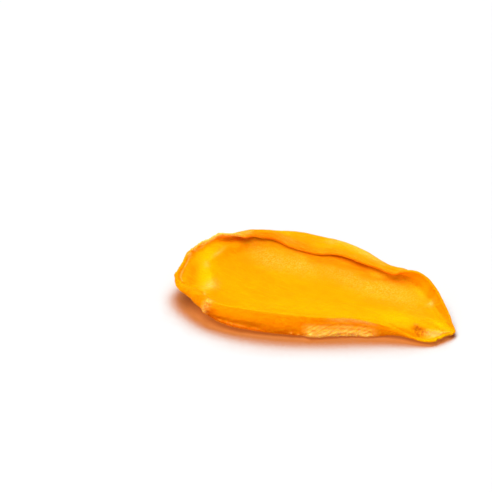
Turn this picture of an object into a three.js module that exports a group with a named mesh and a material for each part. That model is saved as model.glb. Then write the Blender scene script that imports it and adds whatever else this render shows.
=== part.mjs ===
// Dried mango slice: one curled piece of fruit. The far rim rolls over towards the near side,
// both ends turn up, and the near side is cut square.
// Millimetres, +X along the slice, +Y from the cut side to the rolled rim, +Z up, resting on z = 0.
import * as THREE from "three";

const PART_NAME = "mango_slice";
const { clamp, degToRad, smoothstep } = THREE.MathUtils;

// How finely the skin of the solid is divided: steps round the rim, steps from upper to lower middle.
const STEPS_AROUND = 124;
const STEPS_OVER = 46;

// The fold line runs in the middle of the flesh, counter-clockwise seen from above. Each station
// holds x, y, z, turn of the lip in degrees, radius of the fold, length of the lip past the fold,
// thickness of the flesh, how square the edge is cut (0 round, 1 square), and how late the wall
// climbs to the rim.
const STATIONS = [
  // right tip
  [48.7, -5.7, 1.9, 18, 3.0, 0.2, 2.4, 0, 5],
  // right wall
  [45.9, -2.7, 2.4, 38, 2.8, 1.1, 2.4, 0, 4],
  [42.3, 2.2, 3.0, 56, 2.6, 2.3, 2.4, 0, 4],
  [38.4, 8.4, 3.7, 68, 2.4, 3.9, 2.4, 0, 4],
  // right shoulder
  [34.2, 13.7, 4.9, 86, 2.3, 4.4, 2.6, 0, 4],
  [28.4, 17.0, 6.0, 116, 2.0, 2.8, 2.9, 0, 4],
  // rolled far rim
  [22.0, 18.3, 7.5, 144, 1.7, 1.1, 2.8, 0, 5],
  [14.3, 22.8, 8.4, 160, 1.6, 2.3, 2.6, 0, 5],
  [5.7, 26.0, 8.9, 172, 1.5, 3.0, 2.5, 0, 4],
  [-3.4, 27.4, 9.1, 176, 1.5, 4.6, 2.4, 0, 4],
  [-12.0, 27.4, 9.9, 176, 1.5, 3.9, 2.4, 0, 4],
  [-20.3, 26.5, 10.1, 172, 1.5, 1.5, 2.3, 0, 4],
  // the edge starts to roll
  [-28.8, 23.2, 11.5, 154, 1.6, 1.8, 2.0, 0, 3.5],
  // far left corner
  [-37.2, 17.9, 11.8, 80, 1.8, 1.5, 2.0, 0, 3.5],
  [-42.0, 13.9, 11.4, 28, 3.5, 0.9, 2.3, 0, 3.2],
  [-46.2, 7.6, 10.3, 30, 4.0, 0.6, 2.7, 0, 3.2],
  // left tip
  [-48.0, -1.2, 8.5, 26, 4.0, 0.4, 3.2, 0, 3.2],
  [-47.1, -5.4, 7.1, 18, 3.5, 0.3, 4.2, 0.3, 3.2],
  [-40.8, -8.9, 6.1, 8, 3.0, 0.2, 5.2, 0.6, 3.5],
  // pinched corner
  [-36.6, -12.9, 5.5, 0, 3.0, 0.1, 5.4, 0.8, 4],
  // square near side
  [-31.2, -15.4, 5.1, 0, 3.0, 0, 6.2, 0.9, 5],
  [-24.6, -16.3, 4.8, 0, 3.0, 0, 6.8, 1, 5],
  [-15.8, -16.4, 4.5, 0, 3.0, 0, 7.2, 1, 5],
  [-6.4, -15.8, 4.2, 0, 3.0, 0, 7.2, 1, 5],
  [3.9, -14.3, 4.0, 0, 3.0, 0, 6.7, 1, 5],
  [14.2, -11.6, 3.7, 0, 3.0, 0, 6.3, 1, 5],
  [23.4, -10.4, 3.0, 0, 3.0, 0, 5.3, 0.9, 5],
  // notch before the tip
  [30.5, -9.8, 2.4, 4, 3.0, 0, 3.8, 0.4, 5],
  // near corner of the tip
  [39.1, -11.0, 1.8, 8, 3.0, 0.1, 2.8, 0, 5],
  [43.4, -9.9, 1.7, 12, 3.0, 0.2, 2.6, 0, 5],
  [46.1, -7.0, 1.7, 14, 3.0, 0.1, 2.5, 0, 5],
];

// Inside the rim the middle of the flesh is a shallow bowl, z + x·X + y·Y + xx·X² + xy·X·Y + yy·Y².
const BOWL = { z: 2.2, x: 0.0027, y: -0.033, xx: 0.0006, xy: -0.0018, yy: 0.0055 };

const THICKNESS_MIDDLE = 4.8;
// The thickness goes over from the middle's to the rim's as this power of the way out.
const THICKNESS_POWER = 3;
// Where it isn't cut square, the flesh thins by this share over the last stretch to its edge.
const EDGE_THINNING = 0.5;
const THIN_WAY = 6.0;

// The square side leans out by this much at its foot, and keeps this share of a round edge.
// The lean fades into the underside as a power of the way out.
const SIDE_LEAN = 1.2;
const SIDE_ROUNDNESS = 0.15;
const FOOT_POWER = 12;
// A groove along the foot of the square side, from x to x, at a share of the way down the edge.
const GROOVE = { from: -34, to: -14, height: 0.7, width: 0.1, depth: 0.7, fade: 5 };
// A flared hem with a hollow above it, on the rest of the square side.
const HEM = { from: -3, to: 26, flare: 0.7, hollow: 0.5, fadeIn: 4, fadeOut: 6 };
const HEM_HOLLOW = { height: 0.35, width: 0.15 };
const HEM_FLARE = { from: 0.5, to: 0.8 };

// Hills and dents of the upper face: x, y, half length, half width, heading in degrees, height.
const FACE_HILLS = [
  // dent by the notch
  [37.8, -9.7, 2.2, 1.2, 12, -1.2],
  // tip
  [44.0, -5.4, 3.4, 0.8, -30, 0.4],
  // knot by the right wall
  [40.6, 5.2, 1.4, 1.1, 50, 0.45],
  // trough and swell along the face
  [-6.0, 2.0, 26.0, 2.6, -9, -0.35],
  [2.0, 11.0, 20.0, 3.0, -14, 0.3],
  // hollow between the left rim and its ridge
  [-44.0, -0.5, 1.8, 5.5, 12, -0.35],
];
// Ridges of the upper face that follow a bent line, and the step beside the cut.
const FACE_RIDGES = [
  {
    height: 0.65,
    width: 1.8,
    route: [[-36.0, 15.5], [-41.6, 7.0], [-39.2, 2.4], [-37.2, -2.2], [-36.6, -7.0]],
  },
  { height: 0.5, width: 0.7, route: [[40.6, -9.2], [44.3, -8.1], [48.4, -7.4]] },
  { height: -0.25, width: 0.6, route: [[15.0, -10.2], [23.6, -9.2], [25.6, -10.2]] },
];

// The rim of the left end is ragged between these stations: waves in a whole turn, reach, phase.
const RAGGED_FROM = 12.4;
const RAGGED_TO = 19.4;
const RAGGED_FADE = 0.8;
const RAGGED_DEPTH = 1.2;
const RAGGED_WAVES = [
  [19, 0.22, 0.3],
  [31, 0.25, 0.1],
];

// Ways over the skin, as shares of the way from the upper middle to the lower middle.
const EDGE_FROM = 19 / STEPS_OVER;
const EDGE_TO = 27 / STEPS_OVER;
// Shares of the way from a middle to the edge where the face ends and where the fold ends.
const FACE_SHARE = 9 / 19;
const FOLD_SHARE = 16 / 19;
// The fold and the lip take at least this length of skin.
const LEAST_FOLD = 2.0;
const LEAST_LIP = 1.2;
// Steps of the face gather towards the rim, and points of the long axis lean outwards.
const GATHER = 1.6;
const LONG_AXIS_POWER = 0.75;
const LEAST_RHO = 0.02;
const SMALL = 1e-3;

const share = (x, from, to) => clamp((x - from) / (to - from), 0, 1);
const bell = (x, centre, width) => Math.exp(-(((x - centre) / width) ** 2));
const stretch = (x, from, to, fadeIn, fadeOut) =>
  smoothstep(x, from, from + fadeIn) * (1 - smoothstep(x, to - fadeOut, to));

// Curve through b and c, with its slopes from a and d.
function curve(f, a, b, c, d) {
  const cubic = 3 * (b - c) + d - a;
  const square = 2 * a - 5 * b + 4 * c - d + f * cubic;
  return b + 0.5 * f * (c - a + f * square);
}

// The columns of the stations at the share u of the way round, on a closed smooth curve.
function stationAt(u) {
  const count = STATIONS.length;
  const way = (((u % 1) + 1) % 1) * count;
  const index = Math.floor(way) % count;
  const row = (step) => STATIONS[(index + step + count) % count];
  const [before, start, end, after] = [row(-1), row(0), row(1), row(2)];
  const column = (k) => curve(way - index, before[k], start[k], end[k], after[k]);
  return {
    way,
    x: column(0),
    y: column(1),
    z: column(2),
    turn: degToRad(Math.max(column(3), 0)),
    radius: column(4),
    lip: Math.max(column(5), 0),
    thickness: column(6),
    square: clamp(column(7), 0, 1),
    wallPower: column(8),
  };
}

function bowl(x, y) {
  const bent = BOWL.xx * x * x + BOWL.xy * x * y + BOWL.yy * y * y;
  return BOWL.z + BOWL.x * x + BOWL.y * y + bent;
}

// Middle of the flesh at the share rho of the way out to the fold line.
function middle(rho, rim) {
  const x = rim.x * rho ** LONG_AXIS_POWER;
  const y = rim.y * rho;
  const climb = rim.z - bowl(rim.x, rim.y);
  return new THREE.Vector3(x, y, bowl(x, y) + climb * rho ** rim.wallPower);
}

// Length walked from the middle over the face, round the fold and along the lip, at the share out.
function walkTo(out, rim) {
  const face = Math.hypot(rim.x, rim.y);
  const fold = rim.radius * rim.turn;
  const lipEnd = face + fold + rim.lip;
  const foldEnd = lipEnd - Math.max(rim.lip, LEAST_LIP);
  const faceEnd = foldEnd - Math.max(fold, LEAST_FOLD);
  let walked = faceEnd * (1 - (1 - share(out, 0, FACE_SHARE)) ** GATHER);
  walked += (foldEnd - faceEnd) * share(out, FACE_SHARE, FOLD_SHARE);
  walked += (lipEnd - foldEnd) * share(out, FOLD_SHARE, 1);
  const past = Math.max(walked - face, 0);
  return {
    rho: Math.min(walked / face, 1),
    past,
    pastShare: past / Math.max(fold + rim.lip, SMALL),
    straight: Math.max(past - fold, 0),
    toEdge: lipEnd - walked,
  };
}

// Outwards and upwards directions of the middle of the flesh, before the fold turns them.
function frameAt(rho, u, rim) {
  const inner = Math.max(rho, LEAST_RHO);
  const outwards = middle(inner, rim).sub(middle(inner - SMALL, rim));
  const onwards = middle(inner, stationAt(u + SMALL)).sub(middle(inner, stationAt(u - SMALL)));
  onwards.normalize();
  const normal = outwards.cross(onwards).normalize();
  return { normal, side: onwards.clone().cross(normal) };
}

function thicknessAt(walk, rim) {
  const even = THICKNESS_MIDDLE + (rim.thickness - THICKNESS_MIDDLE) * walk.rho ** THICKNESS_POWER;
  const thinned = EDGE_THINNING * (1 - rim.square) * (1 - smoothstep(walk.toEdge, 0, THIN_WAY));
  return even * (1 - thinned);
}

// How far the edge stands out at the share edge of the way down it, and the foot under the side.
function edgeReach(edge, half, rim) {
  const groove = rim.square * stretch(rim.x, GROOVE.from, GROOVE.to, GROOVE.fade, GROOVE.fade);
  const hem = rim.square * stretch(rim.x, HEM.from, HEM.to, HEM.fadeIn, HEM.fadeOut);
  const lean = Math.PI / 2 - Math.PI * edge;
  let reach = (1 - (1 - SIDE_ROUNDNESS) * rim.square) * half * Math.cos(lean);
  reach += (SIDE_LEAN * rim.square * (1 - Math.sin(lean))) / 2;
  reach -= GROOVE.depth * groove * bell(edge, GROOVE.height, GROOVE.width);
  reach += HEM.flare * hem * smoothstep(edge, HEM_FLARE.from, HEM_FLARE.to);
  reach -= HEM.hollow * hem * bell(edge, HEM_HOLLOW.height, HEM_HOLLOW.width);
  return reach;
}

function footReach(rho, rim) {
  const hem = stretch(rim.x, HEM.from, HEM.to, HEM.fadeIn, HEM.fadeOut);
  return rim.square * (SIDE_LEAN + HEM.flare * hem) * rho ** FOOT_POWER;
}

function raggedReach(u, rim) {
  const leftEnd = stretch(rim.way, RAGGED_FROM, RAGGED_TO, RAGGED_FADE, RAGGED_FADE);
  let reach = 0;
  for (const [waves, tall, phase] of RAGGED_WAVES) {
    reach += tall * Math.sin(2 * Math.PI * (waves * u + phase));
  }
  return reach * leftEnd;
}

// Distance in plan from a bent line.
function offRoute(x, y, route) {
  let nearest = Infinity;
  for (let leg = 1; leg < route.length; leg += 1) {
    const [startX, startY] = route[leg - 1];
    const [endX, endY] = route[leg];
    const dx = endX - startX;
    const dy = endY - startY;
    const along = clamp(((x - startX) * dx + (y - startY) * dy) / (dx * dx + dy * dy), 0, 1);
    nearest = Math.min(nearest, Math.hypot(x - startX - along * dx, y - startY - along * dy));
  }
  return nearest;
}

function relief(x, y) {
  let height = 0;
  for (const [centreX, centreY, halfLength, halfWidth, heading, top] of FACE_HILLS) {
    const angle = degToRad(heading);
    const dx = x - centreX;
    const dy = y - centreY;
    const along = (dx * Math.cos(angle) + dy * Math.sin(angle)) / halfLength;
    const across = (dy * Math.cos(angle) - dx * Math.sin(angle)) / halfWidth;
    height += top * Math.exp(-(along * along + across * across));
  }
  for (const ridge of FACE_RIDGES) height += ridge.height * bell(offRoute(x, y, ridge.route), 0, ridge.width);
  return height;
}

// Point of the skin. u runs round the rim, v from the middle of the upper face over the edge
// to the middle of the underside.
function skin(u, v) {
  const rim = stationAt(u);
  const upper = v <= EDGE_FROM;
  const under = v >= EDGE_TO;
  let out = 1;
  if (upper) out = v / EDGE_FROM;
  if (under) out = (1 - v) / (1 - EDGE_TO);
  const walk = walkTo(out, rim);
  const { normal, side } = frameAt(walk.rho, u, rim);

  // The fold turns the directions along and across the flesh.
  const angle = Math.min(walk.past / rim.radius, rim.turn);
  const along = side.clone().multiplyScalar(Math.cos(angle)).addScaledVector(normal, Math.sin(angle));
  const across = normal.clone().multiplyScalar(Math.cos(angle)).addScaledVector(side, -Math.sin(angle));
  const point = middle(walk.rho, rim);
  point.addScaledVector(side, rim.radius * Math.sin(angle));
  point.addScaledVector(normal, rim.radius * (1 - Math.cos(angle)));
  point.addScaledVector(along, walk.straight);

  const half = thicknessAt(walk, rim) / 2;
  const edge = share(v, EDGE_FROM, EDGE_TO);
  let reach = raggedReach(u, rim) * bell(walk.toEdge, 0, RAGGED_DEPTH);
  if (under) reach += footReach(walk.rho, rim);
  if (!upper && !under) reach += edgeReach(edge, half, rim);
  point.addScaledVector(across, half * Math.cos(Math.PI * edge));
  point.addScaledVector(along, reach);
  if (upper) point.addScaledVector(across, relief(point.x, point.y) * (1 - walk.pastShare));
  // The lowest part of the bowl is pressed flat where the slice rests.
  point.z = Math.max(point.z, 0);
  return point;
}

const geometry = new THREE.SphereGeometry(1, STEPS_AROUND, STEPS_OVER);
const place = geometry.attributes.position;
const ways = geometry.attributes.uv;
for (let index = 0; index < place.count; index += 1) {
  const v = 1 - ways.getY(index);
  const pole = v < SMALL || v > 1 - SMALL;
  const point = skin(pole ? 0 : ways.getX(index), v);
  place.setXYZ(index, point.x, point.y, point.z);
}

// The middle of the slice's outline in plan is the origin.
geometry.computeBoundingBox();
const box = geometry.boundingBox;
geometry.translate(-(box.min.x + box.max.x) / 2, -(box.min.y + box.max.y) / 2, -box.min.z);
geometry.computeVertexNormals();

const flesh = new THREE.MeshStandardMaterial({ name: "dried_mango", color: 0xf5a21e, roughness: 0.45 });
const slice = new THREE.Mesh(geometry, flesh);
slice.name = PART_NAME;

const part = new THREE.Group();
part.name = "dried_mango_slice";
part.add(slice);
export default part;
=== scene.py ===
import math

import bmesh
import bpy
import numpy as np
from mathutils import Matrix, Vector, noise


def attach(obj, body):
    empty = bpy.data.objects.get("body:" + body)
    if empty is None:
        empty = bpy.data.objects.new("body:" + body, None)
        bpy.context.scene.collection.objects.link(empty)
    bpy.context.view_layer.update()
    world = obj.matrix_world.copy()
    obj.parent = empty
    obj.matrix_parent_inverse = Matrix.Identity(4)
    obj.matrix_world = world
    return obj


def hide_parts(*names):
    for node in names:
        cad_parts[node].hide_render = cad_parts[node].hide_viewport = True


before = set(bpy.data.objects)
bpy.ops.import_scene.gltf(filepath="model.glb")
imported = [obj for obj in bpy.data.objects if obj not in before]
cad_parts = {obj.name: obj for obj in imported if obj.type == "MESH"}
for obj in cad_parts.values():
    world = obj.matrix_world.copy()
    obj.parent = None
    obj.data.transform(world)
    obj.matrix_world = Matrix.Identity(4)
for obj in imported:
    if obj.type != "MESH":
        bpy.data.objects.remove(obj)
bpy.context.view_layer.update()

# The slice. One piece of mango flesh, cut lengthwise and dried, about 100 mm long. The far side has
# rolled over towards the near side, both ends turn up, and the near side shows where the knife went.
# Made as a round skin laid over the middle of the flesh, then wrinkled. Lengths in mm until the end.
MM = 0.001

# The fold line in the middle of the flesh, counter-clockwise seen from above: x, y, z, turn of the
# lip in degrees, radius of the fold, length of the lip, thickness, how square the edge is cut, and
# how late the wall climbs to the rim.
STATIONS = np.array([
    # right tip
    (48.7, -5.7, 1.9, 18, 3.0, 0.2, 2.4, 0, 5),
    # right wall
    (45.9, -2.7, 2.4, 38, 2.8, 1.1, 2.4, 0, 4),
    (42.3, 2.2, 3.0, 56, 2.6, 2.3, 2.4, 0, 4),
    (38.4, 8.4, 3.7, 68, 2.4, 3.9, 2.4, 0, 4),
    # right shoulder
    (34.2, 13.7, 4.9, 86, 2.3, 4.4, 2.6, 0, 4),
    (28.4, 17.0, 6.0, 116, 2.0, 2.8, 2.9, 0, 4),
    # rolled far rim
    (22.0, 18.3, 7.5, 144, 1.7, 1.1, 2.8, 0, 5),
    (14.3, 22.8, 8.4, 160, 1.6, 2.3, 2.6, 0, 5),
    (5.7, 26.0, 8.9, 172, 1.5, 3.0, 2.5, 0, 4),
    (-3.4, 27.4, 9.1, 176, 1.5, 4.6, 2.4, 0, 4),
    (-12.0, 27.4, 9.9, 176, 1.5, 3.9, 2.4, 0, 4),
    (-20.3, 26.5, 10.1, 172, 1.5, 1.5, 2.3, 0, 4),
    # the edge starts to roll
    (-28.8, 23.2, 11.5, 154, 1.6, 1.8, 2.0, 0, 3.5),
    # far left corner
    (-37.2, 17.9, 11.8, 80, 1.8, 1.5, 2.0, 0, 3.5),
    (-42.0, 13.9, 11.4, 28, 3.5, 0.9, 2.3, 0, 3.2),
    (-46.2, 7.6, 10.3, 30, 4.0, 0.6, 2.7, 0, 3.2),
    # left tip
    (-48.0, -1.2, 8.5, 26, 4.0, 0.4, 3.2, 0, 3.2),
    (-47.1, -5.4, 7.1, 18, 3.5, 0.3, 4.2, 0.3, 3.2),
    (-40.8, -8.9, 6.1, 8, 3.0, 0.2, 5.2, 0.6, 3.5),
    # pinched corner
    (-36.6, -12.9, 5.5, 0, 3.0, 0.1, 5.4, 0.8, 4),
    # square near side
    (-31.2, -15.4, 5.1, 0, 3.0, 0, 6.2, 0.9, 5),
    (-24.6, -16.3, 4.8, 0, 3.0, 0, 6.8, 1, 5),
    (-15.8, -16.4, 4.5, 0, 3.0, 0, 7.2, 1, 5),
    (-6.4, -15.8, 4.2, 0, 3.0, 0, 7.2, 1, 5),
    (3.9, -14.3, 4.0, 0, 3.0, 0, 6.7, 1, 5),
    (14.2, -11.6, 3.7, 0, 3.0, 0, 6.3, 1, 5),
    (23.4, -10.4, 3.0, 0, 3.0, 0, 5.3, 0.9, 5),
    # notch before the tip
    (30.5, -9.8, 2.4, 4, 3.0, 0, 3.8, 0.4, 5),
    # near corner of the tip
    (39.1, -11.0, 1.8, 8, 3.0, 0.1, 2.8, 0, 5),
    (43.4, -9.9, 1.7, 12, 3.0, 0.2, 2.6, 0, 5),
    (46.1, -7.0, 1.7, 14, 3.0, 0.1, 2.5, 0, 5),
])
# The floor of the bowl: its height under the middle, its slopes and its bends.
BOWL = {"z": 2.2, "x": 0.0027, "y": -0.033, "xx": 0.0006, "xy": -0.0018, "yy": 0.0055}
# Lines from the middle to the rim run lengthwise first, so they meet the long sides more squarely.
LONG_AXIS_POWER = 0.75
# The flesh is this thick in the middle, and takes the rim's thickness late on the way out.
THICKNESS_MIDDLE = 4.8
THICKNESS_POWER = 3
# Where it isn't cut square, the flesh thins by this share over the last stretch to its edge.
EDGE_THINNING = 0.5
THIN_WAY = 6.0
# The square side leans out towards its foot, is slightly round, and blends late into the underside.
SIDE_LEAN = 1.2
SIDE_ROUNDNESS = 0.15
FOOT_POWER = 12
# The groove in the left of the side and the hem in its right: ends and fades along x, reach, and the
# place on the edge, from 0 at the face to 1 at the foot.
GROOVE = {"from": -34.0, "to": -14.0, "height": 0.7, "width": 0.1, "depth": 0.7, "fade": 5.0}
HEM = {"from": -3.0, "to": 26.0, "flare": 0.7, "hollow": 0.5, "fade_in": 4.0, "fade_out": 6.0}
HEM_HOLLOW = {"height": 0.35, "width": 0.15}
HEM_FLARE = (0.5, 0.8)
# The ragged left rim between two stations, and its waves: how many in a whole turn, reach, phase.
RAGGED_FROM, RAGGED_TO, RAGGED_FADE, RAGGED_DEPTH = 12.4, 19.4, 0.8, 1.2
RAGGED_WAVES = ((19, 0.22, 0.3), (31, 0.25, 0.1))

# Steps of the skin round the rim, and from the upper middle over face and edge to the lower middle.
STEPS_AROUND = 540
STEPS_OVER = 180
FACE_STEPS = 95
EDGE_STEPS = 33
EDGE_FROM = FACE_STEPS / STEPS_OVER
EDGE_TO = (FACE_STEPS + EDGE_STEPS) / STEPS_OVER
# On the way out, the open face takes the first share of the steps, the fold goes on to the second, and
# the lip has the rest. A short fold or lip gets the steps of one at least this long.
FACE_SHARE = 0.58
FOLD_SHARE = 0.84
LEAST_FOLD = 2.0
LEAST_LIP = 1.2
# How much the steps on the face gather towards the rim.
GATHER = 1.25
# The place nearest to the middle where the skin's direction is measured, and the step it is measured by.
LEAST_RHO = 0.02
SMALL = 1e-3


def smooth(x, start, stop):
    t = np.clip((x - start) / (stop - start), 0, 1)
    return t * t * (3 - 2 * t)


def share(x, start, stop):
    return np.clip((x - start) / (stop - start), 0, 1)


def bell(x, centre, width):
    return np.exp(-(((x - centre) / width) ** 2))


def unit(vectors):
    return vectors / np.linalg.norm(vectors, axis=1, keepdims=True)


def station(u):
    """The nine columns at the share u of the way round, on a closed smooth curve."""
    way = (u % 1.0) * len(STATIONS)
    index = np.floor(way).astype(int) % len(STATIONS)
    f = (way - np.floor(way))[:, None]
    a, b, c, d = (STATIONS[(index + step) % len(STATIONS)] for step in (-1, 0, 1, 2))
    return b + 0.5 * f * (c - a + f * (2 * a - 5 * b + 4 * c - d + f * (3 * (b - c) + d - a)))


def bowl(x, y):
    bent = BOWL["xx"] * x * x + BOWL["xy"] * x * y + BOWL["yy"] * y * y
    return BOWL["z"] + BOWL["x"] * x + BOWL["y"] * y + bent


def middle(rho, u):
    """Middle of the flesh at the share rho of the way out to the fold line."""
    rim = station(u)
    x = rim[:, 0] * rho ** LONG_AXIS_POWER
    y = rim[:, 1] * rho
    climb = rim[:, 2] - bowl(rim[:, 0], rim[:, 1])
    return np.stack([x, y, bowl(x, y) + climb * rho ** rim[:, 8]], 1)


def slice_skin(u, v):
    """Points of the skin, and where each lies: which station, how far from the rim, where on the edge."""
    rim = station(u)
    way = (u % 1.0) * len(STATIONS)
    turn = np.radians(np.maximum(rim[:, 3], 0))
    radius = rim[:, 4]
    lip = np.maximum(rim[:, 5], 0)
    thickness_rim = rim[:, 6]
    square = np.clip(rim[:, 7], 0, 1)
    upper = v <= EDGE_FROM
    under = v >= EDGE_TO
    out = np.where(upper, v / EDGE_FROM, np.where(under, (1 - v) / (1 - EDGE_TO), 1.0))

    face_length = np.hypot(rim[:, 0], rim[:, 1])
    fold_length = radius * turn
    lip_end = face_length + fold_length + lip
    fold_end = lip_end - np.maximum(lip, LEAST_LIP)
    face_end = fold_end - np.maximum(fold_length, LEAST_FOLD)
    over_face = 1 - (1 - share(out, 0, FACE_SHARE)) ** GATHER
    walked = face_end * over_face
    walked += (fold_end - face_end) * share(out, FACE_SHARE, FOLD_SHARE)
    walked += (lip_end - fold_end) * share(out, FOLD_SHARE, 1)
    rho = np.minimum(walked / face_length, 1)
    past = np.maximum(walked - face_length, 0)
    past_share = past / np.maximum(fold_length + lip, SMALL)

    rho_in = np.maximum(rho, LEAST_RHO)
    outwards = middle(rho_in, u) - middle(rho_in - SMALL, u)
    onwards = unit(middle(rho_in, u + SMALL) - middle(rho_in, u - SMALL))
    normal = unit(np.cross(outwards, onwards))
    side = np.cross(onwards, normal)
    angle = np.minimum(past / radius, turn)
    sine = np.sin(angle)[:, None]
    cosine = np.cos(angle)[:, None]
    along = side * cosine + normal * sine
    across = normal * cosine - side * sine
    points = middle(rho, u) + radius[:, None] * (side * sine + normal * (1 - cosine))
    points += along * np.maximum(past - fold_length, 0)[:, None]

    thickness = THICKNESS_MIDDLE + (thickness_rim - THICKNESS_MIDDLE) * rho ** THICKNESS_POWER
    thickness *= 1 - EDGE_THINNING * (1 - square) * (1 - smooth(lip_end - walked, 0, THIN_WAY))
    half = thickness / 2
    edge = share(v, EDGE_FROM, EDGE_TO)
    lean = math.pi / 2 - math.pi * edge
    up = np.sin(lean)
    x = rim[:, 0]
    groove = smooth(x, GROOVE["from"], GROOVE["from"] + GROOVE["fade"])
    groove *= 1 - smooth(x, GROOVE["to"] - GROOVE["fade"], GROOVE["to"])
    hem = smooth(x, HEM["from"], HEM["from"] + HEM["fade_in"])
    hem *= 1 - smooth(x, HEM["to"] - HEM["fade_out"], HEM["to"])
    reach = (1 - (1 - SIDE_ROUNDNESS) * square) * half * np.cos(lean)
    reach += SIDE_LEAN * square * (1 - up) / 2
    reach -= GROOVE["depth"] * square * groove * bell(edge, GROOVE["height"], GROOVE["width"])
    reach += HEM["flare"] * square * hem * smooth(edge, *HEM_FLARE)
    reach -= HEM["hollow"] * square * hem * bell(edge, HEM_HOLLOW["height"], HEM_HOLLOW["width"])
    foot = square * (SIDE_LEAN + HEM["flare"] * hem) * rho ** FOOT_POWER
    reach = np.where(upper, 0, np.where(under, foot, reach))
    left_end = smooth(way, RAGGED_FROM, RAGGED_FROM + RAGGED_FADE)
    left_end *= 1 - smooth(way, RAGGED_TO - RAGGED_FADE, RAGGED_TO)
    for waves, tall, phase in RAGGED_WAVES:
        wave = tall * np.sin(math.tau * (waves * u + phase))
        reach += wave * left_end * bell(lip_end - walked, 0, RAGGED_DEPTH)
    points += across * (half * up)[:, None] + along * reach[:, None]
    places = {
        "station": way,
        "past": past_share,
        "edge": edge,
        "upper": upper,
        "square": square,
        "hem": hem * square,
        "groove": groove * square,
        "from_rim": lip_end - walked,
        "round": (u % 1.0),
        "along": along,
    }
    return points, places


# The skin starts as a grid, bent into a ball and closed at its seam and poles.
WELD = 1e-5
ball = bmesh.new()
bmesh.ops.create_grid(ball, x_segments=STEPS_AROUND, y_segments=STEPS_OVER, size=1)
for vertex in ball.verts:
    longitude = (vertex.co.x + 1) * math.pi
    latitude = vertex.co.y * math.pi / 2
    flat = math.cos(latitude)
    vertex.co = (flat * math.cos(longitude), flat * math.sin(longitude), math.sin(latitude))
bmesh.ops.remove_doubles(ball, verts=ball.verts, dist=WELD)
for face in ball.faces:
    face.smooth = True
flesh = bpy.data.meshes.new("dried_mango_slice")
ball.to_mesh(flesh)
ball.free()


def read_mesh(values, name):
    """One vector for each vertex of the mesh."""
    numbers = np.empty(len(values) * 3, dtype=np.float32)
    values.foreach_get(name, numbers)
    return numbers.reshape(-1, 3).astype(float)


def place_skin(points):
    """Moves the mesh to these points and gives its new normals."""
    flesh.vertices.foreach_set("co", points.astype(np.float32).ravel())
    flesh.update()
    return read_mesh(flesh.vertex_normals, "vector")


ways = read_mesh(flesh.vertices, "co")
u = np.round(np.arctan2(ways[:, 1], ways[:, 0]) / math.tau * STEPS_AROUND) / STEPS_AROUND % 1.0
v = np.round(np.arccos(np.clip(ways[:, 2], -1, 1)) / math.pi * STEPS_OVER) / STEPS_OVER
u[(v == 0) | (v == 1)] = 0
points, places = slice_skin(u, v)
centre = (points.max(0) + points.min(0)) / 2


def hills(x, y, rows):
    """Sum of smooth hills: x, y, half length, half width, heading in degrees, height."""
    total = np.zeros_like(x)
    for centre_x, centre_y, half_length, half_width, heading, height in rows:
        angle = math.radians(heading)
        along = ((x - centre_x) * math.cos(angle) + (y - centre_y) * math.sin(angle)) / half_length
        across = ((y - centre_y) * math.cos(angle) - (x - centre_x) * math.sin(angle)) / half_width
        total += height * np.exp(-(along ** 2 + across ** 2))
    return total


def off_route(x, y, route):
    """Distance in plan from a bent line."""
    nearest = np.full_like(x, np.inf)
    for (x0, y0), (x1, y1) in zip(route, route[1:]):
        length = math.hypot(x1 - x0, y1 - y0)
        along = np.clip(((x - x0) * (x1 - x0) + (y - y0) * (y1 - y0)) / length ** 2, 0, 1)
        nearest = np.minimum(nearest, np.hypot(x - x0 - along * (x1 - x0), y - y0 - along * (y1 - y0)))
    return nearest


def clouds(positions, size, octaves=2):
    """Soft random hills of about one size, from -1 to 1, the same each run."""
    scaled = positions / size
    if octaves == 1:
        return np.array([noise.noise(Vector(p)) for p in scaled])
    return np.array([noise.fractal(Vector(p), 1.0, 2.0, octaves) for p in scaled])


def window(values, start, stop, fade):
    """1 from start to stop, and 0 from one fade outside them."""
    return smooth(values, start - fade, start) * (1 - smooth(values, stop, stop + fade))


def mixed(low, high, mask):
    """The first amount where the mask is 0, and the second where it is 1."""
    return low + (high - low) * mask


def layered(*parts):
    """Masks laid over each other, each with its amount."""
    return sum(amount * mask for amount, mask in parts)


# Relief of the upper face, from large to fine.
FACE_HILLS = (
    # dent by the notch
    (37.8, -9.7, 2.2, 1.2, 12, -1.2),
    # tip
    (44.0, -5.4, 3.4, 0.8, -30, 0.4),
    # lump by the right wall
    (40.6, 5.2, 1.4, 1.1, 50, 0.45),
    # trough and swell along the face
    (-6.0, 2.0, 26.0, 2.6, -9, -0.35),
    (2.0, 11.0, 20.0, 3.0, -14, 0.3),
    # hollow between the left rim and its ridge
    (-44.0, -0.5, 1.8, 5.5, 12, -0.35),
)
# Long ridges and steps: route in plan, height, half width.
FACE_RIDGES = (
    # ridge inside the left rim
    (((-36.0, 15.5), (-41.6, 7.0), (-39.2, 2.4), (-37.2, -2.2), (-36.6, -7.0)), 0.65, 1.8),
    # ridge along the tip
    (((40.6, -9.2), (44.3, -8.1), (48.4, -7.4)), 0.5, 0.7),
    # step above the hem
    (((15.0, -10.2), (23.6, -9.2), (25.6, -10.2)), -0.25, 0.45),
)
FIBRE_HEADING = math.radians(-14)
FIBRE_LENGTH, FIBRE_WIDTH, FIBRE_HEIGHT = 7.0, 0.9, 0.07
FIBRES_OFF_FACE = 0.4
SWELL_SIZE, SWELL_HEIGHT = 13.0, 0.3
CRINKLE_SIZE, CRINKLE_HEIGHT = 3.4, 0.12
RIPPLE_LENGTH, RIPPLE_WIDTH, RIPPLE_HEIGHT = 9.0, 0.8, 0.16
RIPPLES_ON_SIDE = 0.6
CRUMPLE_SIZE, CRUMPLE_HEIGHT = 0.8, 0.4
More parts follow.
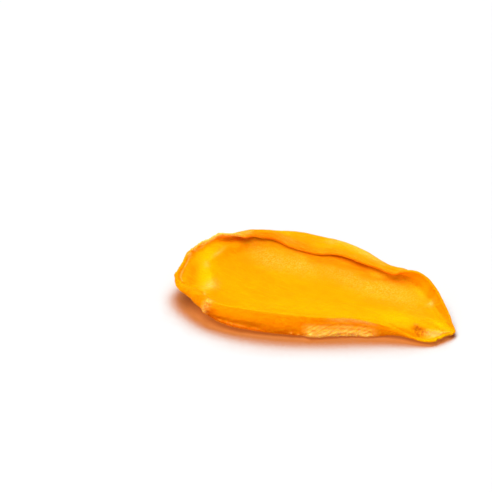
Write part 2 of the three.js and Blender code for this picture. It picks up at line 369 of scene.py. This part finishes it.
# What is crumpled: the pinched corner, by its station and half size, and the dent before the tip.
PINCH_STATION, PINCH_HALF = 19.1, 0.22
CRUMPLED_DENT = ((38.2, -9.9, 2.4, 1.6, 12, 0.8),)
# Length of the way round the rim, and height of the side.
ROUND_LENGTH = 240.0
SIDE_HEIGHT = 7.0

# Stretches of the rim, counted in stations: start, stop, fade outside them.
STRETCHES = {
    "right wall": (0.4, 5.4, 0.8),
    "wall by the tip": (0.5, 2.2, 0.4),
    "lit wall": (3.4, 6.2, 0.6),
    "gap under the lip": (4.3, 12.7, 0.5),
    "lip": (4.8, 12.6, 0.6),
    "right start of the lip": (4.9, 6.3, 0.4),
    "shade under the lip": (5.4, 9.3, 0.7),
    "streak on the lip": (6.2, 8.4, 0.4),
    "yellow of the lip": (7.3, 11.0, 0.8),
    "deep end of the lip": (9.6, 12.2, 0.8),
    "shaded end of the lip": (10.8, 12.0, 0.5),
    "left of the gap": (10.9, 12.7, 0.5),
    "flap": (12.1, 12.7, 0.25),
    "corner rim": (12.5, 14.2, 0.3),
    "left end": (12.8, 19.2, 0.6),
    "ragged rim": (14.2, 15.1, 0.2),
    "flaked rim": (15.3, 16.7, 0.25),
    "shaded rim line": (17.0, 18.7, 0.3),
    "left of the side": (19.6, 22.9, 0.8),
    "near side of the tip": (27.8, 30.6, 0.5),
    "yellow of the tip": (28.0, 30.8, 0.4),
}
# Lines along the rim: distance from it, half width.
LINES = {
    "edge": (0, 1.6),
    "pinch": (0, 1.3),
    "fold of the lip": (0, 1.2),
    "rim": (0, 1.0),
    "corner rim": (0, 0.6),
    "shaded rim line": (0.5, 0.35),
    "flaked rim": (0.9, 0.35),
    "flap": (1.6, 1.2),
    "light on the lip": (1.9, 0.9),
    "yellow of the lip": (3.2, 1.6),
}
# Changes further in from the rim: distances where they start and end.
INWARDS = {
    "shaded end of the lip": (2.0, 3.4),
    "deep end of the lip": (2.4, 3.6),
    "right start of the lip": (2.4, 4.0),
    "back of the lip": (4.6, 6.4),
}
# Changes down the edge, 0 at the face and 1 at the foot: where they start and end.
DOWNWARDS = {
    "top corner": (0.03, 0.1),
    "pale head of the hem": (0.05, 0.2),
    "brown of the pinch": (0.1, 0.3),
    "head of the hem": (0.25, 0.4),
    "lower side": (0.35, 0.75),
    "lower hem": (0.5, 0.8),
    "foot": (0.55, 0.9),
    "below the pinch": (0.7, 0.95),
}
# Bands on the edge: start, stop, fade outside them.
SIDE_BAND = (0.05, 0.95, 0.05)
HEM_BAND = (0.48, 1, 0.1)
HEM_FRAY_BAND = (0.6, 1, 0.1)
GROOVE_FRAY_BAND = (0.72, 1, 0.08)

x, y = points[:, 0], points[:, 1]
station_at = places["station"]
from_rim = places["from_rim"]
edge = places["edge"]
square = places["square"]
# The upper face, and the rest of the skin: the edge and the underside.
upper = places["upper"] * 1.0
lower = 1 - upper


def on_stretch(name):
    return window(station_at, *STRETCHES[name])


def on_line(name):
    return bell(from_rim, *LINES[name])


def inwards(name):
    return smooth(from_rim, *INWARDS[name])


def downwards(name):
    return smooth(edge, *DOWNWARDS[name])


lip_skin = lower * places["past"] * on_stretch("lip")
on_face = upper * (1 - places["past"])
on_edge = lower * on_line("edge")
on_side = square * window(edge, *SIDE_BAND) * on_edge
fibre_x = x * math.cos(FIBRE_HEADING) + y * math.sin(FIBRE_HEADING)
fibre_y = y * math.cos(FIBRE_HEADING) - x * math.sin(FIBRE_HEADING)
fibre_place = np.stack([fibre_x / FIBRE_LENGTH, fibre_y / FIBRE_WIDTH, points[:, 2] / FIBRE_LENGTH], 1)
fibres = clouds(fibre_place, 1.0)
crinkles = clouds(points, CRINKLE_SIZE)
# How far round the rim a point lies, and how far from it, for what follows the rim.
down = np.where(places["upper"], from_rim, -edge * SIDE_HEIGHT - from_rim)
lie = np.stack([places["round"] * ROUND_LENGTH, down, x * 0], 1)
ripples = clouds(lie / (RIPPLE_LENGTH, RIPPLE_WIDTH, 1), 1.0)
swell_place = np.stack([x, y, x * 0], 1)
swell = SWELL_HEIGHT * clouds(swell_place, SWELL_SIZE, octaves=1)
pinched = bell(station_at, PINCH_STATION, PINCH_HALF) * on_line("pinch")
pinched *= 1 - downwards("below the pinch")
dented = hills(x, y, CRUMPLED_DENT) * on_face
crumpled = np.clip(pinched + dented, 0, 1)
crumples = clouds(points, CRUMPLE_SIZE)

rise = hills(x, y, FACE_HILLS) * on_face
for route, tall, half_width in FACE_RIDGES:
    rise += tall * bell(off_route(x, y, route), 0, half_width) * on_face
rise += FIBRE_HEIGHT * fibres * mixed(FIBRES_OFF_FACE, 1, on_face)
rise += CRINKLE_HEIGHT * crinkles
rise += RIPPLE_HEIGHT * ripples * np.maximum(lip_skin, RIPPLES_ON_SIDE * on_side)
rise += CRUMPLE_HEIGHT * crumples * crumpled

# The flesh lies close under the lip: how far from the rim the gap narrows, by station.
FILL_STATIONS = (4.4, 5.2, 5.8, 6.5, 7.3, 8.0, 8.6, 9.2, 9.9, 10.6, 11.2, 12.4)
FILL_PLACES = (5.5, 6.2, 6.4, 7.4, 9.1, 10.3, 12.6, 14.0, 12.8, 10.0, 7.5, 7.5)
FILL_HEIGHT, FILL_MORE_AT_LEFT, FILL_WIDTH = 0.5, 0.4, 2.2
fill_at = np.interp(station_at, FILL_STATIONS, FILL_PLACES)
fill_height = layered(
    (FILL_HEIGHT, on_stretch("gap under the lip")),
    (FILL_MORE_AT_LEFT, on_stretch("left of the gap")),
)
rise += fill_height * bell(from_rim, fill_at, FILL_WIDTH) * upper

# Frayed edges: the left end, the pinched corner, the hem, and a little everywhere else. Larger chips
# are moved away from the fine frays, so that the two don't line up.
FRAY_SIZE, FRAY_REACH = 1.0, 0.5
CHIP_SIZE, CHIP_REACH, CHIP_SHIFT = 4.5, 0.5, 31.0
FRAY_EVERYWHERE, FRAY_MORE_AT_LEFT, FRAY_AT_GROOVE, FRAY_AT_PINCH = 0.25, 0.45, 0.6, 1.3
fray = FRAY_EVERYWHERE + FRAY_MORE_AT_LEFT * on_stretch("left end") * (1 - square)
fray = np.maximum(fray, places["hem"] * window(edge, *HEM_FRAY_BAND))
fray = np.maximum(fray, FRAY_AT_GROOVE * places["groove"] * window(edge, *GROOVE_FRAY_BAND))
fray = np.maximum(fray, FRAY_AT_PINCH * pinched)
at_rim = on_line("rim")
ragged = FRAY_REACH * clouds(points, FRAY_SIZE)
ragged += CHIP_REACH * clouds(points + CHIP_SHIFT, CHIP_SIZE, octaves=1)
reach = ragged * fray * at_rim

# The hem is pleated: slanting folds that run up to the right.
PLEAT_WIDTH, PLEAT_LENGTH, PLEAT_HEIGHT, PLEAT_SLANT = 0.42, 8.0, 0.16, 0.42
height = (1 - edge) * SIDE_HEIGHT
pleat_place = np.stack([
    (x + height * PLEAT_SLANT) / PLEAT_LENGTH,
    (height - x * PLEAT_SLANT) / PLEAT_WIDTH,
    x * 0,
], 1)
pleats = clouds(pleat_place, 1.0)
on_hem = places["hem"] * window(edge, *HEM_BAND) * on_edge
rise += PLEAT_HEIGHT * pleats * on_hem

# Scraps that stand off the foot of the near side and of the pinched corner: station, place on the edge,
# half sizes, reach.
SCRAPS = (
    (23.08, 0.80, 0.06, 0.07, 0.6),
    (23.32, 0.84, 0.05, 0.06, 0.7),
    (23.72, 0.76, 0.07, 0.08, 0.9),
    (19.15, 0.78, 0.16, 0.2, 0.8),
)
# The nick before the tip, and the tip's near corner, which is drawn in.
NICKS = (
    (29.2, 0.4, 0.14, 0.7, -0.5),
    (30.65, 0.45, 0.4, 0.6, -0.7),
)
# Where the lip starts at the left, a small flap stands out beside a notch: station, half size, reach.
LIP_START = (
    (12.4, 0.2, 1.1),
    (11.9, 0.2, -0.5),
)


def spots_on_edge(rows):
    total = np.zeros_like(x)
    for at_station, at_edge, half_round, half_edge, tall in rows:
        total += tall * bell(station_at, at_station, half_round) * bell(edge, at_edge, half_edge)
    return total


scraps = spots_on_edge(SCRAPS)
reach += scraps
for at_station, half_round, tall in LIP_START:
    reach += tall * bell(station_at, at_station, half_round) * at_rim
reach += spots_on_edge(NICKS) * at_rim

normals = place_skin(points)
points = points + normals * rise[:, None] + places["along"] * reach[:, None]
points[:, 2] = np.maximum(points[:, 2] + swell, 0)
points = (points - (centre[0], centre[1], 0)) * MM
place_skin(points)

# Deep orange, much of it painted shade: on the right wall, which faces away from the light, under the lip,
# on the lip's edge and back, and on the square side. The rims and the left wall are deep orange as well.
# The wall and the shade reach this far in from the rim, by station, with a ragged border.
WALL_STATIONS = (0.0, 0.8, 1.6, 2.3, 2.8, 3.1, 3.5, 3.9, 4.4, 4.9, 5.5)
WALL_DEPTHS = (0.6, 1.6, 2.2, 2.4, 3.4, 6.6, 8.4, 9.0, 9.5, 8.3, 9.5)
WALL_BORDER = (-0.4, 0.6)
SHADE_STATIONS = (5.0, 6.3, 7.5, 8.2, 8.7, 9.3, 10.0)
SHADE_DEPTHS = (11.0, 12.5, 14.0, 15.5, 17.5, 18.5, 16.0)
SHADE_BORDER = (-1.0, 2.0)
BORDER_RAGGED = 0.9
LEFT_WALL, LEFT_WALL_WIDTH = ((-45.5, 3.0), (-45.0, -4.0)), 1.8
LIT_WALL_DEPTH = (-1, 8.0, 2.5)
# Darker patches on the face below the rolled rim: painted shade under the lip and under its left end.
DEEP_SPOTS = (
    (11.0, 15.5, 9.0, 3.5, -20, 0.4),
    (2.0, 20.5, 8.0, 2.2, -4, 0.35),
    (-33.5, 17.2, 4.0, 3.0, 20, 0.5),
)
wall_depth = np.interp(station_at, WALL_STATIONS, WALL_DEPTHS) + BORDER_RAGGED * crinkles
right_wall = smooth(wall_depth - from_rim, *WALL_BORDER) * on_stretch("right wall") * upper
shade_depth = np.interp(station_at, SHADE_STATIONS, SHADE_DEPTHS) + BORDER_RAGGED * crinkles
under_lip = smooth(shade_depth - from_rim, *SHADE_BORDER) * on_stretch("shade under the lip") * upper
left_wall = bell(off_route(x, y, LEFT_WALL), 0, LEFT_WALL_WIDTH) * on_face
# Painted shade on the lip: along its free edge, on its back by the fold, at its left end and at its right
# start.
lip_folds = lip_skin * np.maximum(on_line("fold of the lip"), inwards("back of the lip"))
rims = lower * at_rim * (1 - square) * (1 - on_stretch("near side of the tip")) * (1 - lip_skin)
lip_deep_end = lip_skin * on_stretch("deep end of the lip")
lip_right_start = lip_skin * on_stretch("right start of the lip") * (1 - inwards("right start of the lip"))
# Painted light: on part of the right wall, below the lip's right end, the deep orange gives way to yellow.
lit_wall = upper * on_stretch("lit wall") * window(from_rim, *LIT_WALL_DEPTH)
deep = layered(
    (0.45, right_wall),
    (0.85, under_lip),
    (0.8, left_wall),
    (0.5, lip_folds),
    (0.5, rims),
    (1.0, hills(x, y, DEEP_SPOTS) * on_face),
    (0.45, right_wall * on_stretch("wall by the tip")),
    (1.0, lip_deep_end * mixed(0.9, 0.4, inwards("deep end of the lip"))),
    (0.5, lip_right_start),
)
deep = np.clip(deep * mixed(1, 0.1, lit_wall), 0, 1)
hem_head = places["hem"] * (1 - downwards("head of the hem"))
# Painted shade on the square side, deeper towards its foot; less of it on the hem and its head.
side_shade = square * on_edge * downwards("top corner") * mixed(0.75, 1, downwards("lower side"))
side_shade *= (1 - on_hem) * mixed(1, 0.2, hem_head)
deep = np.maximum(deep, side_shade) * mixed(1, 0.2, pinched)

# Pale: spots and streaks where fibres have lifted, the flaked rims, the hem and the scraps, together with
# painted highlights on the left ridge, the tip's ridge, the top of the lip, the flap's edge and the inner
# line of the left rim. Some of it breaks up with the noise of the relief, from none at the first value to
# all at the second.
PALE_SPOTS = (
    # on the left ridge: painted highlights
    (-41.2, 5.7, 0.9, 1.4, 0, 0.38),
    (-37.6, -3.2, 1.8, 3.0, -20, 0.62),
    (-38.4, 12.0, 0.6, 2.8, -32, 0.4),
    # thread up from the pinched corner
    (-38.2, -10.2, 0.35, 1.8, 10, 0.8),
    # lump by the right wall
    (40.6, 5.4, 1.2, 1.0, 30, 0.7),
    # tip: the pale wedge, with a painted highlight along its ridge
    (42.2, -9.9, 2.2, 0.9, 6, 1.0),
    (45.9, -8.2, 2.8, 0.9, 16, 1.2),
    (36.6, -7.9, 0.6, 0.5, 0, 0.3),
)
PLEAT_BREAKS, PLEAT_CRINKLE = (-0.9, 0.1), 0.25
RAGGED_BREAKS = (-0.15, 0.2)
FLAKE_BREAKS = (-0.2, 0.2)
GROOVE_BREAKS = (-0.35, 0.15)
CRUMPLE_BREAKS = (-0.2, 0.3)
HEM_HEAD_FROM, HEM_HEAD_FULL = 4.0, 12.0
# On the lip: a pale streak of lifted fibres with a painted highlight along its top, and further left a
# painted highlight.
STREAK_STATIONS, STREAK_PLACES, STREAK_WIDTH = (6.0, 7.0, 8.0), (1.8, 3.2, 4.4), 0.8
LIP_LIGHT_STATION, LIP_LIGHT_HALF = 10.3, 0.4
# Two fine lines along the groove: place on the edge, half width.
UPPER_GROOVE_LINE, LOWER_GROOVE_LINE = (0.77, 0.02), (0.93, 0.025)
pleat_light = smooth(pleats + PLEAT_CRINKLE * crinkles, *PLEAT_BREAKS)
# On the left rim: pale flakes and frays, with a painted highlight along its inner edge.
flakes = on_line("flaked rim") * upper * mixed(0.6, 1, smooth(crinkles, *FLAKE_BREAKS))
left_rim = on_stretch("corner rim") * on_line("corner rim")
left_rim += on_stretch("ragged rim") * at_rim * smooth(ragged, *RAGGED_BREAKS)
left_rim += on_stretch("flaked rim") * flakes
streak_at = np.interp(station_at, STREAK_STATIONS, STREAK_PLACES)
streak = on_stretch("streak on the lip") * bell(from_rim, streak_at, STREAK_WIDTH)
lip_light = bell(station_at, LIP_LIGHT_STATION, LIP_LIGHT_HALF) * on_line("light on the lip")
groove_lines = np.maximum(bell(edge, *UPPER_GROOVE_LINE), bell(edge, *LOWER_GROOVE_LINE))
groove_lines *= places["groove"] * smooth(crinkles, *GROOVE_BREAKS)
hem_head_light = hem_head * places["hem"] * smooth(x, HEM_HEAD_FROM, HEM_HEAD_FULL)
pale = layered(
    (1.0, hills(x, y, PALE_SPOTS) * on_face),
    (0.95, on_hem * pleat_light * mixed(0.45, 1, downwards("lower hem"))),
    (0.6, hem_head_light * downwards("pale head of the hem")),
    (0.85, left_rim),
    (1.0, lip_skin * streak),
    (0.35, lip_skin * lip_light),
    # painted highlight on the flap's edge
    (0.6, lower * on_stretch("flap") * on_line("flap")),
    (0.6, groove_lines),
    (1.0, pinched * mixed(0.4, 0.9, smooth(crumples, *CRUMPLE_BREAKS))),
    (1.0, np.minimum(scraps, 1)),
)
pale = np.clip(pale, 0, 1)

# Haze: milky, finely grained flesh on the far half of the face, with a painted satin sheen.
HAZE_SPOTS = (
    (-20.0, 17.0, 7.0, 3.6, -14, 1.0),
    (-8.0, 16.5, 7.0, 4.0, -14, 0.8),
    (9.0, 15.0, 8.0, 4.0, -20, 0.9),
    (22.0, 10.0, 9.0, 5.0, -14, 0.9),
    (32.0, 6.5, 6.0, 5.0, -14, 0.45),
    (37.0, -1.0, 5.0, 5.0, 0, 0.12),
)
haze = np.clip(hills(x, y, HAZE_SPOTS), 0, 1) * on_face * (1 - deep)

# Yellow: thin flesh near the notch and the tip. On the left ridge, on the middle of the lip and on part of
# the right wall it is painted light.
YELLOW_SPOTS = (
    (8.0, -7.0, 22.0, 6.0, -6, 0.3),
    (31.0, -6.0, 9.0, 3.6, -8, 0.6),
    # left ridge: painted highlight
    (-40.4, 3.5, 3.0, 9.5, 8, 1.3),
    (46.0, -5.6, 3.4, 2.8, -20, 1.2),
    (42.4, -11.0, 4.4, 2.2, 6, 1.4),
)
yellow = layered(
    (1.0, np.clip(hills(x, y, YELLOW_SPOTS), 0, 1) * on_face),
    (0.6, lit_wall),
    (1.0, on_edge * on_stretch("yellow of the tip")),
    # middle of the lip, where it faces the light: painted light
    (0.7, lip_skin * on_stretch("yellow of the lip") * on_line("yellow of the lip")),
)
yellow = np.clip(yellow, 0, 1)

# Painted shade in burnt orange: fine dark lines under the hem's head, in the groove and along the left
# rim, the foot, the crumples of the pinched corner, and the folds at the left and at the lip's left end. A
# line's numbers: place on the edge, half width.
HEM_LINE, HEM_LINE_BREAKS = (0.44, 0.04), (0, 0.3)
GROOVE_LINE = (0.85, 0.04)
PINCH_BREAKS = (0.0, 0.25)
PINCH_SHADE_STATION, PINCH_SHADE_HALF = 19.6, 0.4
PINCH_SHADE_LINE = (0.65, 0.3)
pinch_shade = bell(station_at, PINCH_SHADE_STATION, PINCH_SHADE_HALF) * bell(edge, *PINCH_SHADE_LINE)
lip_shaded_end = lip_skin * on_stretch("shaded end of the lip") * (1 - inwards("shaded end of the lip"))
painted_shade = layered(
    (0.6, places["hem"] * bell(edge, *HEM_LINE) * mixed(1, 0.5, smooth(crinkles, *HEM_LINE_BREAKS))),
    (0.9, places["groove"] * bell(edge, *GROOVE_LINE)),
    (0.5, on_stretch("shaded rim line") * on_line("shaded rim line") * upper),
    (0.3, pinched * smooth(-crumples, *PINCH_BREAKS)),
    (0.6, pinch_shade * on_edge),
    (0.25, square * on_edge * downwards("foot") * (1 - on_hem)),
    (0.45, square * on_edge * downwards("lower side") * on_stretch("left of the side")),
    (0.2, lip_shaded_end),
)
painted_shade = np.clip(painted_shade, 0, 1)

# Brown: scorched flesh in the dent before the tip, and a little of it in the pinched corner.
BROWN_SPOTS = (
    (38.3, -10.0, 2.2, 1.6, 12, 1.3),
    (36.8, -8.4, 1.3, 1.1, 0, 0.6),
)
MOST_BROWN, BROWN_IN_PINCH = 0.85, 0.3
brown = np.clip(hills(x, y, BROWN_SPOTS), 0, MOST_BROWN) * on_face
brown += BROWN_IN_PINCH * pinched * downwards("brown of the pinch")

# The masks are painted on the mesh, where the material reads them.
masks = {"pale": pale, "deep": deep, "haze": haze, "yellow": yellow, "painted_shade": painted_shade, "brown": brown}
masks["lip"] = np.clip(lip_skin, 0, 1)
masks["hem"] = on_hem
for name, mask in masks.items():
    layer = flesh.attributes.new(name, "FLOAT", "POINT")
    layer.data.foreach_set("value", mask.astype(np.float32))
layer = flesh.attributes.new("lie", "FLOAT_VECTOR", "POINT")
layer.data.foreach_set("vector", (lie * MM).astype(np.float32).ravel())

slice_piece = bpy.data.objects.new("dried_mango_slice", flesh)
bpy.context.scene.collection.objects.link(slice_piece)

# The flesh. Sugar-rich and a little see-through, with a satin skin: yellow where it is thin, deep orange
# in the folds, and milky where fibres have lifted. The masks add painted shade in the folds, walls and
# sides, and painted highlights and painted light on ridges, the lip and a wall.
dried = bpy.data.materials.new("dried_mango_flesh")
dried.use_nodes = True
nodes, links = dried.node_tree.nodes, dried.node_tree.links
shader = nodes["Principled BSDF"]


def linear(red, green, blue):
    """A colour given as seen on a screen, 0 to 255."""
    parts = [c / 255 for c in (red, green, blue)]
    return (*[c / 12.92 if c <= 0.04045 else ((c + 0.055) / 1.055) ** 2.4 for c in parts], 1)


FLESH_ORANGE = linear(232, 146, 0)
FLESH_DARKER = linear(230, 139, 0)
DEEP_ORANGE = linear(230, 126, 0)
FLESH_YELLOW = linear(240, 174, 0)
LIGHT_THREADS = linear(238, 166, 3)
CLOUDED = linear(238, 172, 58)
PALE_FIBRES_AND_HIGHLIGHTS = linear(240, 184, 86)
SHADE_ORANGE = linear(190, 88, 0)
SCORCHED = linear(176, 72, 4)

where = nodes.new("ShaderNodeTexCoord").outputs["Object"]
lie_node = nodes.new("ShaderNodeAttribute")
lie_node.attribute_name = "lie"
along_rim = lie_node.outputs["Vector"]


def painted(name):
    node = nodes.new("ShaderNodeAttribute")
    node.attribute_name = name
    return node.outputs["Fac"]


def grains(place, size, stretch=(1, 1, 1), turn=0.0, detail=3, roughness=0.6):
    """Noise whose grains are about this many millimetres, stretched and turned in plan."""
    turned = nodes.new("ShaderNodeMapping")
    turned.vector_type = "TEXTURE"
    turned.inputs["Rotation"].default_value = (0, 0, turn)
    turned.inputs["Scale"].default_value = [length * size * MM for length in stretch]
    links.new(place, turned.inputs["Vector"])
    node = nodes.new("ShaderNodeTexNoise")
    node.inputs["Scale"].default_value = 1
    node.inputs["Detail"].default_value = detail
    node.inputs["Roughness"].default_value = roughness
    links.new(turned.outputs["Vector"], node.inputs["Vector"])
    return node.outputs["Fac"]


def ramp(value, low, high, to_low=0.0, to_high=1.0):
    """From one share, where the value is low, to the other, where it is high."""
    node = nodes.new("ShaderNodeMapRange")
    node.interpolation_type = "SMOOTHSTEP"
    node.inputs["From Min"].default_value = low
    node.inputs["From Max"].default_value = high
    node.inputs["To Min"].default_value = to_low
    node.inputs["To Max"].default_value = to_high
    links.new(value, node.inputs["Value"])
    return node.outputs["Result"]


def calculate(operation, *values):
    node = nodes.new("ShaderNodeMath")
    node.operation = operation
    for socket, value in zip(node.inputs, values):
        if isinstance(value, (int, float)):
            socket.default_value = value
        else:
            links.new(value, socket)
    return node.outputs["Value"]


def times(first, second):
    return calculate("MULTIPLY", first, second)


def blended(share_of_second, first, second):
    node = nodes.new("ShaderNodeMix")
    node.data_type = "RGBA"
    links.new(share_of_second, node.inputs["Factor"])
    for socket, colour in ((node.inputs["A"], first), (node.inputs["B"], second)):
        if isinstance(colour, tuple):
            socket.default_value = colour
        else:
            links.new(colour, socket)
    return node.outputs["Result"]


HAZE_HEADING = math.radians(35)
HEM_HEADING = math.radians(23)
LIP_HEADING = math.radians(-9)
STREAK_HEADING = math.radians(50)
threads = grains(where, 1.0, (8, 0.7, 2), FIBRE_HEADING, detail=4)
patches = grains(where, 7.0, (1.6, 1, 1), FIBRE_HEADING, detail=2)
fine = grains(where, 0.42, (1.5, 1, 1), HAZE_HEADING, detail=2.5)
streaks = grains(where, 0.5, (5, 0.8, 1), STREAK_HEADING)
patches_small = grains(where, 0.9)
lip_lines = grains(along_rim, 0.4, (8, 1, 1), LIP_HEADING, detail=4, roughness=0.7)
hem_lines = grains(along_rim, 0.34, (12, 1, 1), HEM_HEADING, detail=4, roughness=0.7)

# The tones, laid over each other. A ramp's first two numbers are values of the noise, and the next two
# the shares of the upper tone there.
tone = blended(ramp(patches, 0.35, 0.65), FLESH_ORANGE, FLESH_DARKER)
tone = blended(times(painted("yellow"), ramp(patches, 0.2, 0.6, 0.6, 1.0)), tone, FLESH_YELLOW)
tone = blended(painted("deep"), tone, DEEP_ORANGE)
tone = blended(ramp(threads, 0.5, 0.75, 0.0, 0.4), tone, LIGHT_THREADS)
tone = blended(ramp(fine, 0.38, 0.55, 0.35, 0.0), tone, FLESH_DARKER)
tone = blended(times(painted("lip"), ramp(lip_lines, 0.48, 0.7, 0.0, 0.35)), tone, CLOUDED)
tone = blended(times(painted("haze"), ramp(fine, 0.38, 0.64, 0.0, 0.75)), tone, CLOUDED)
lip_gaps = times(painted("lip"), ramp(lip_lines, 0.42, 0.6, 0.9, 0.0))
pale_breakup = ramp(streaks, 0.35, 0.6, 0.3, 1.0)
pale_breakup = calculate("MAXIMUM", pale_breakup, times(painted("hem"), ramp(hem_lines, 0.3, 0.6)))
pale_breakup = times(pale_breakup, calculate("SUBTRACT", 1.0, lip_gaps))
tone = blended(times(painted("pale"), pale_breakup), tone, PALE_FIBRES_AND_HIGHLIGHTS)
tone = blended(times(painted("hem"), ramp(hem_lines, 0.36, 0.5, 0.6, 0.0)), tone, DEEP_ORANGE)
tone = blended(painted("painted_shade"), tone, SHADE_ORANGE)
tone = blended(times(painted("brown"), ramp(patches_small, 0.35, 0.65, 1.0, 0.5)), tone, SCORCHED)
links.new(tone, shader.inputs["Base Color"])

SKIN_ROUGHNESS, MILKY_ROUGHNESS = 0.45, 0.65
milky = calculate("ADD", painted("haze"), painted("pale"))
links.new(ramp(milky, 0, 1, SKIN_ROUGHNESS, MILKY_ROUGHNESS), shader.inputs["Roughness"])
THREAD_RELIEF, GRAIN_RELIEF, RELIEF_DEPTH, RELIEF_STRENGTH = 0.6, 0.4, 0.25 * MM, 0.5
skin_height = calculate("ADD", times(threads, THREAD_RELIEF), times(fine, GRAIN_RELIEF))
skin_height = calculate("ADD", skin_height, times(painted("hem"), hem_lines))
bump = nodes.new("ShaderNodeBump")
bump.inputs["Strength"].default_value = RELIEF_STRENGTH
bump.inputs["Distance"].default_value = RELIEF_DEPTH
links.new(skin_height, bump.inputs["Height"])
links.new(bump.outputs["Normal"], shader.inputs["Normal"])
# A faint golden shine, and light that travels furthest in red and hardly at all in blue.
GOLDEN_SHINE, SHINE_LEVEL = (1.0, 0.75, 0.2, 1), 0.03
LIGHT_REACH, LIGHT_SHARE = (2.4 * MM, 1.5 * MM, 0.2 * MM), 0.7
shader.inputs["Specular IOR Level"].default_value = SHINE_LEVEL
shader.inputs["Specular Tint"].default_value = GOLDEN_SHINE
shader.inputs["Subsurface Weight"].default_value = LIGHT_SHARE
shader.inputs["Subsurface Radius"].default_value = LIGHT_REACH
shader.inputs["Subsurface Scale"].default_value = 1.0
flesh.materials.append(dried)

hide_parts("mango_slice")
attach(slice_piece, "root")

# The table. A plain white sheet that runs out of sight on all sides; it isn't part of the slice. Close to
# the slice it is painted with an orange shadow, and at the contact it glows a little, a painted orange
# light that stands for light through the flesh.
FLOOR_HALF = 4.0
floor_mesh = bmesh.new()
bmesh.ops.create_grid(floor_mesh, x_segments=1, y_segments=1, size=FLOOR_HALF)
floor_sheet = bpy.data.meshes.new("white_table")
floor_mesh.to_mesh(floor_sheet)
floor_mesh.free()
floor = bpy.data.objects.new("white_table", floor_sheet)
bpy.context.scene.collection.objects.link(floor)
PAPER_WHITE = (0.58, 0.58, 0.58, 1)
PAPER_ROUGHNESS, PAPER_SHINE = 0.7, 0.2
# How far the slice shuts the sheet in is measured over this reach, and tilted towards the far side, so
# that the painted shadow lies in front. Each pair holds how open the sheet is, from 0 to 1, where the
# painted shadow or the painted glow is full and where it ends.
SHADOW_REACH = 0.018
SHADOW_TOWARDS = Vector((0.05, 0.58, 0.78)).normalized()
PAINTED_SHADOW_ORANGE = (0.38, 0.12, 0.022, 1)
PAINTED_SHADOW_FADES = (0.62, 0.86)
PAINTED_CONTACT_LIGHT = (0.42, 0.12, 0.02, 1)
PAINTED_CONTACT_STRENGTH = 0.8
PAINTED_CONTACT_FADES = (0.2, 0.6)
white = bpy.data.materials.new("white_table")
white.use_nodes = True
# From here the functions above add their nodes to this material.
nodes, links = white.node_tree.nodes, white.node_tree.links
paper = nodes["Principled BSDF"]
shut_in = nodes.new("ShaderNodeAmbientOcclusion")
shut_in.inputs["Distance"].default_value = SHADOW_REACH
towards = nodes.new("ShaderNodeCombineXYZ")
for socket, part in zip(towards.inputs, SHADOW_TOWARDS):
    socket.default_value = part
links.new(towards.outputs["Vector"], shut_in.inputs["Normal"])
openness = shut_in.outputs["AO"]
links.new(blended(ramp(openness, *PAINTED_SHADOW_FADES), PAINTED_SHADOW_ORANGE, PAPER_WHITE), paper.inputs["Base Color"])
links.new(ramp(openness, *PAINTED_CONTACT_FADES, PAINTED_CONTACT_STRENGTH, 0.0), paper.inputs["Emission Strength"])
paper.inputs["Emission Color"].default_value = PAINTED_CONTACT_LIGHT
paper.inputs["Roughness"].default_value = PAPER_ROUGHNESS
paper.inputs["Specular IOR Level"].default_value = PAPER_SHINE
floor_sheet.materials.append(white)

# The light. A broad soft source overhead, a little to the left and in front, a weak lamp in front, and
# white all round.
WORLD_STRENGTH = 0.42
SUN_FROM = Vector((-0.2, -0.1, 0.95))
SUN_STRENGTH = 4.3
SUN_WIDTH = math.radians(50)
FRONT_LAMP_PLACE = Vector((-0.2, -0.9, 0.12))
FRONT_LAMP_SIDE = 0.4
FRONT_LAMP_WATTS = 1.6
world = bpy.data.worlds.new("white_room")
world.use_nodes = True
world.node_tree.nodes["Background"].inputs["Color"].default_value = (1, 1, 1, 1)
world.node_tree.nodes["Background"].inputs["Strength"].default_value = WORLD_STRENGTH
bpy.context.scene.world = world
sun = bpy.data.lights.new("overhead_light", "SUN")
sun.energy = SUN_STRENGTH
sun.angle = SUN_WIDTH
front = bpy.data.lights.new("front_lamp", "AREA")
front.size = FRONT_LAMP_SIDE
front.energy = FRONT_LAMP_WATTS
for lamp, place in ((sun, SUN_FROM), (front, FRONT_LAMP_PLACE)):
    lamp_object = bpy.data.objects.new(lamp.name, lamp)
    bpy.context.scene.collection.objects.link(lamp_object)
    lamp_object.location = place
    lamp_object.rotation_euler = (-place).to_track_quat("-Z", "Y").to_euler()
bpy.context.scene.view_settings.view_transform = "Standard"

# The camera. It looks down on the slice by the angle at which the slice faces it in the photograph.
ELEVATION = math.radians(35)
AZIMUTH = math.radians(12)
DISTANCE = 0.49
LENS = 100
SENSOR = 36
PICTURE_SIDE = 492
# The pixel that shows the ground point below, and that point.
AIM_PIXEL = (315, 309)
AIM_POINT = Vector((-centre[0] * MM, -centre[1] * MM, 0))
back = Vector((
    math.sin(AZIMUTH) * math.cos(ELEVATION),
    -math.cos(AZIMUTH) * math.cos(ELEVATION),
    math.sin(ELEVATION),
))
right = Vector((math.cos(AZIMUTH), math.sin(AZIMUTH), 0))
upwards = back.cross(right)
pixel = DISTANCE * SENSOR / LENS / PICTURE_SIDE
sideways = (PICTURE_SIDE / 2 - AIM_PIXEL[0]) * pixel
lift = (AIM_PIXEL[1] - PICTURE_SIDE / 2) * pixel
target = AIM_POINT + right * sideways + upwards * lift
lens = bpy.data.cameras.new("camera")
lens.lens = LENS
lens.sensor_width = SENSOR
lens.clip_start = 0.01
lens.clip_end = 50
camera = bpy.data.objects.new("camera", lens)
bpy.context.scene.collection.objects.link(camera)
camera.location = target + back * DISTANCE
camera.rotation_euler = (-back).to_track_quat("-Z", "Y").to_euler()
bpy.context.scene.camera = camera
